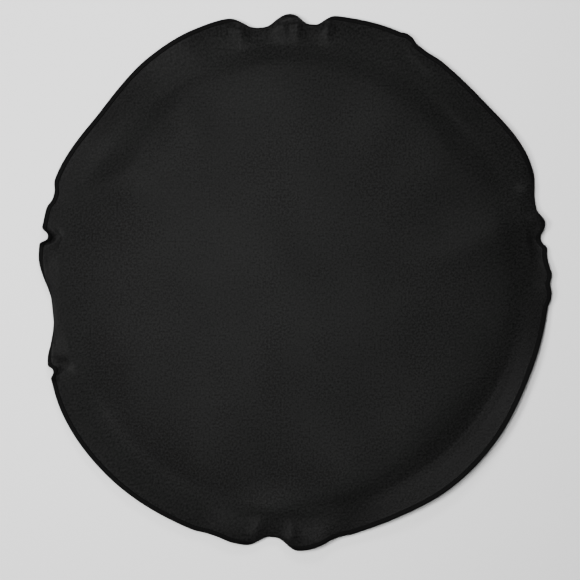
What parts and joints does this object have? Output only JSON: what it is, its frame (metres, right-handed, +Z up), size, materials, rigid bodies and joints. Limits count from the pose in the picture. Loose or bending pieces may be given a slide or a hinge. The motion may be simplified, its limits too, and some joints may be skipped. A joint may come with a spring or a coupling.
{
  "type": "collapsible backdrop panel",
  "caption": "Round collapsible backdrop panel: black and reverse cloth faces sewn over a sprung steel hoop, with a slack hemmed rim; it bends up about parallel lines.",
  "frame": {"origin": "centre of the panel on the surface it lies on", "axes": "+Z up, out of the black face; +Y towards the top of the picture; +X to its right; the panel bends about lines along Y"},
  "size_m": [0.7998, 0.8, 0.0083],
  "materials": {
    "black_cloth": "fine plain weave with a soft sheen",
    "reverse_cloth": "matte white plain weave",
    "hem_thread": "overlocked thread, matte",
    "casing_tape": "woven tape",
    "spring_steel": "blued spring band",
    "ferrule_steel": "zinc plated, crimped"
  },
  "bodies": {
    "middle": {"front_cloth_mid": "black_cloth", "front_border_mid": "black_cloth", "back_cloth_mid": "reverse_cloth", "hem_mid": "hem_thread", "hoop_casing_mid": "casing_tape", "spring_hoop_mid": "spring_steel", "hoop_ferrule": "ferrule_steel"},
    "right_1": {"front_cloth_right_1": "black_cloth", "front_border_right_1": "black_cloth", "back_cloth_right_1": "reverse_cloth", "hem_right_1": "hem_thread", "hoop_casing_right_1": "casing_tape", "spring_hoop_right_1": "spring_steel"},
    "right_2": {"front_cloth_right_2": "black_cloth", "front_border_right_2": "black_cloth", "back_cloth_right_2": "reverse_cloth", "hem_right_2": "hem_thread", "hoop_casing_right_2": "casing_tape", "spring_hoop_right_2": "spring_steel"},
    "right_3": {"front_cloth_right_3": "black_cloth", "front_border_right_3": "black_cloth", "back_cloth_right_3": "reverse_cloth", "hem_right_3": "hem_thread", "hoop_casing_right_3": "casing_tape", "spring_hoop_right_3": "spring_steel"},
    "right_4": {"front_border_right_4": "black_cloth", "back_cloth_right_4": "reverse_cloth", "hem_right_4": "hem_thread", "hoop_casing_right_4": "casing_tape", "spring_hoop_right_4": "spring_steel"},
    "left_1": {"front_cloth_left_1": "black_cloth", "front_border_left_1": "black_cloth", "back_cloth_left_1": "reverse_cloth", "hem_left_1": "hem_thread", "hoop_casing_left_1": "casing_tape", "spring_hoop_left_1": "spring_steel"},
    "left_2": {"front_cloth_left_2": "black_cloth", "front_border_left_2": "black_cloth", "back_cloth_left_2": "reverse_cloth", "hem_left_2": "hem_thread", "hoop_casing_left_2": "casing_tape", "spring_hoop_left_2": "spring_steel"},
    "left_3": {"front_cloth_left_3": "black_cloth", "front_border_left_3": "black_cloth", "back_cloth_left_3": "reverse_cloth", "hem_left_3": "hem_thread", "hoop_casing_left_3": "casing_tape", "spring_hoop_left_3": "spring_steel"},
    "left_4": {"front_border_left_4": "black_cloth", "back_cloth_left_4": "reverse_cloth", "hem_left_4": "hem_thread", "hoop_casing_left_4": "casing_tape", "spring_hoop_left_4": "spring_steel"}
  },
  "joints": [
    {"name": "bend_right_1", "type": "hinge", "parent": "middle", "child": "right_1", "pos_m": [0.04444, 0, 0.0085], "axis": [0, -1, 0], "range_deg": [0, 42], "stiffness_Nm_per_rad": 6},
    {"name": "bend_right_2", "type": "hinge", "parent": "right_1", "child": "right_2", "pos_m": [0.13333, 0, 0.0085], "axis": [0, -1, 0], "range_deg": [0, 37], "stiffness_Nm_per_rad": 6},
    {"name": "bend_right_3", "type": "hinge", "parent": "right_2", "child": "right_3", "pos_m": [0.22222, 0, 0.0085], "axis": [0, -1, 0], "range_deg": [0, 27.5], "stiffness_Nm_per_rad": 6},
    {"name": "bend_right_4", "type": "hinge", "parent": "right_3", "child": "right_4", "pos_m": [0.31111, 0, 0.0085], "axis": [0, -1, 0], "range_deg": [0, 14.7], "stiffness_Nm_per_rad": 6},
    {"name": "bend_left_1", "type": "hinge", "parent": "middle", "child": "left_1", "pos_m": [-0.04444, 0, 0.0085], "axis": [0, 1, 0], "range_deg": [0, 42], "stiffness_Nm_per_rad": 6},
    {"name": "bend_left_2", "type": "hinge", "parent": "left_1", "child": "left_2", "pos_m": [-0.13333, 0, 0.0085], "axis": [0, 1, 0], "range_deg": [0, 37], "stiffness_Nm_per_rad": 6},
    {"name": "bend_left_3", "type": "hinge", "parent": "left_2", "child": "left_3", "pos_m": [-0.22222, 0, 0.0085], "axis": [0, 1, 0], "range_deg": [0, 27.5], "stiffness_Nm_per_rad": 6},
    {"name": "bend_left_4", "type": "hinge", "parent": "left_3", "child": "left_4", "pos_m": [-0.31111, 0, 0.0085], "axis": [0, 1, 0], "range_deg": [0, 14.7], "stiffness_Nm_per_rad": 6}
  ],
  "couplings": [
    {"joint": "bend_right_2", "follows": "bend_right_1", "ratio": 0.8794},
    {"joint": "bend_right_3", "follows": "bend_right_1", "ratio": 0.6527},
    {"joint": "bend_right_4", "follows": "bend_right_1", "ratio": 0.3473},
    {"joint": "bend_left_2", "follows": "bend_left_1", "ratio": 0.8794},
    {"joint": "bend_left_3", "follows": "bend_left_1", "ratio": 0.6527},
    {"joint": "bend_left_4", "follows": "bend_left_1", "ratio": 0.3473}
  ]
}
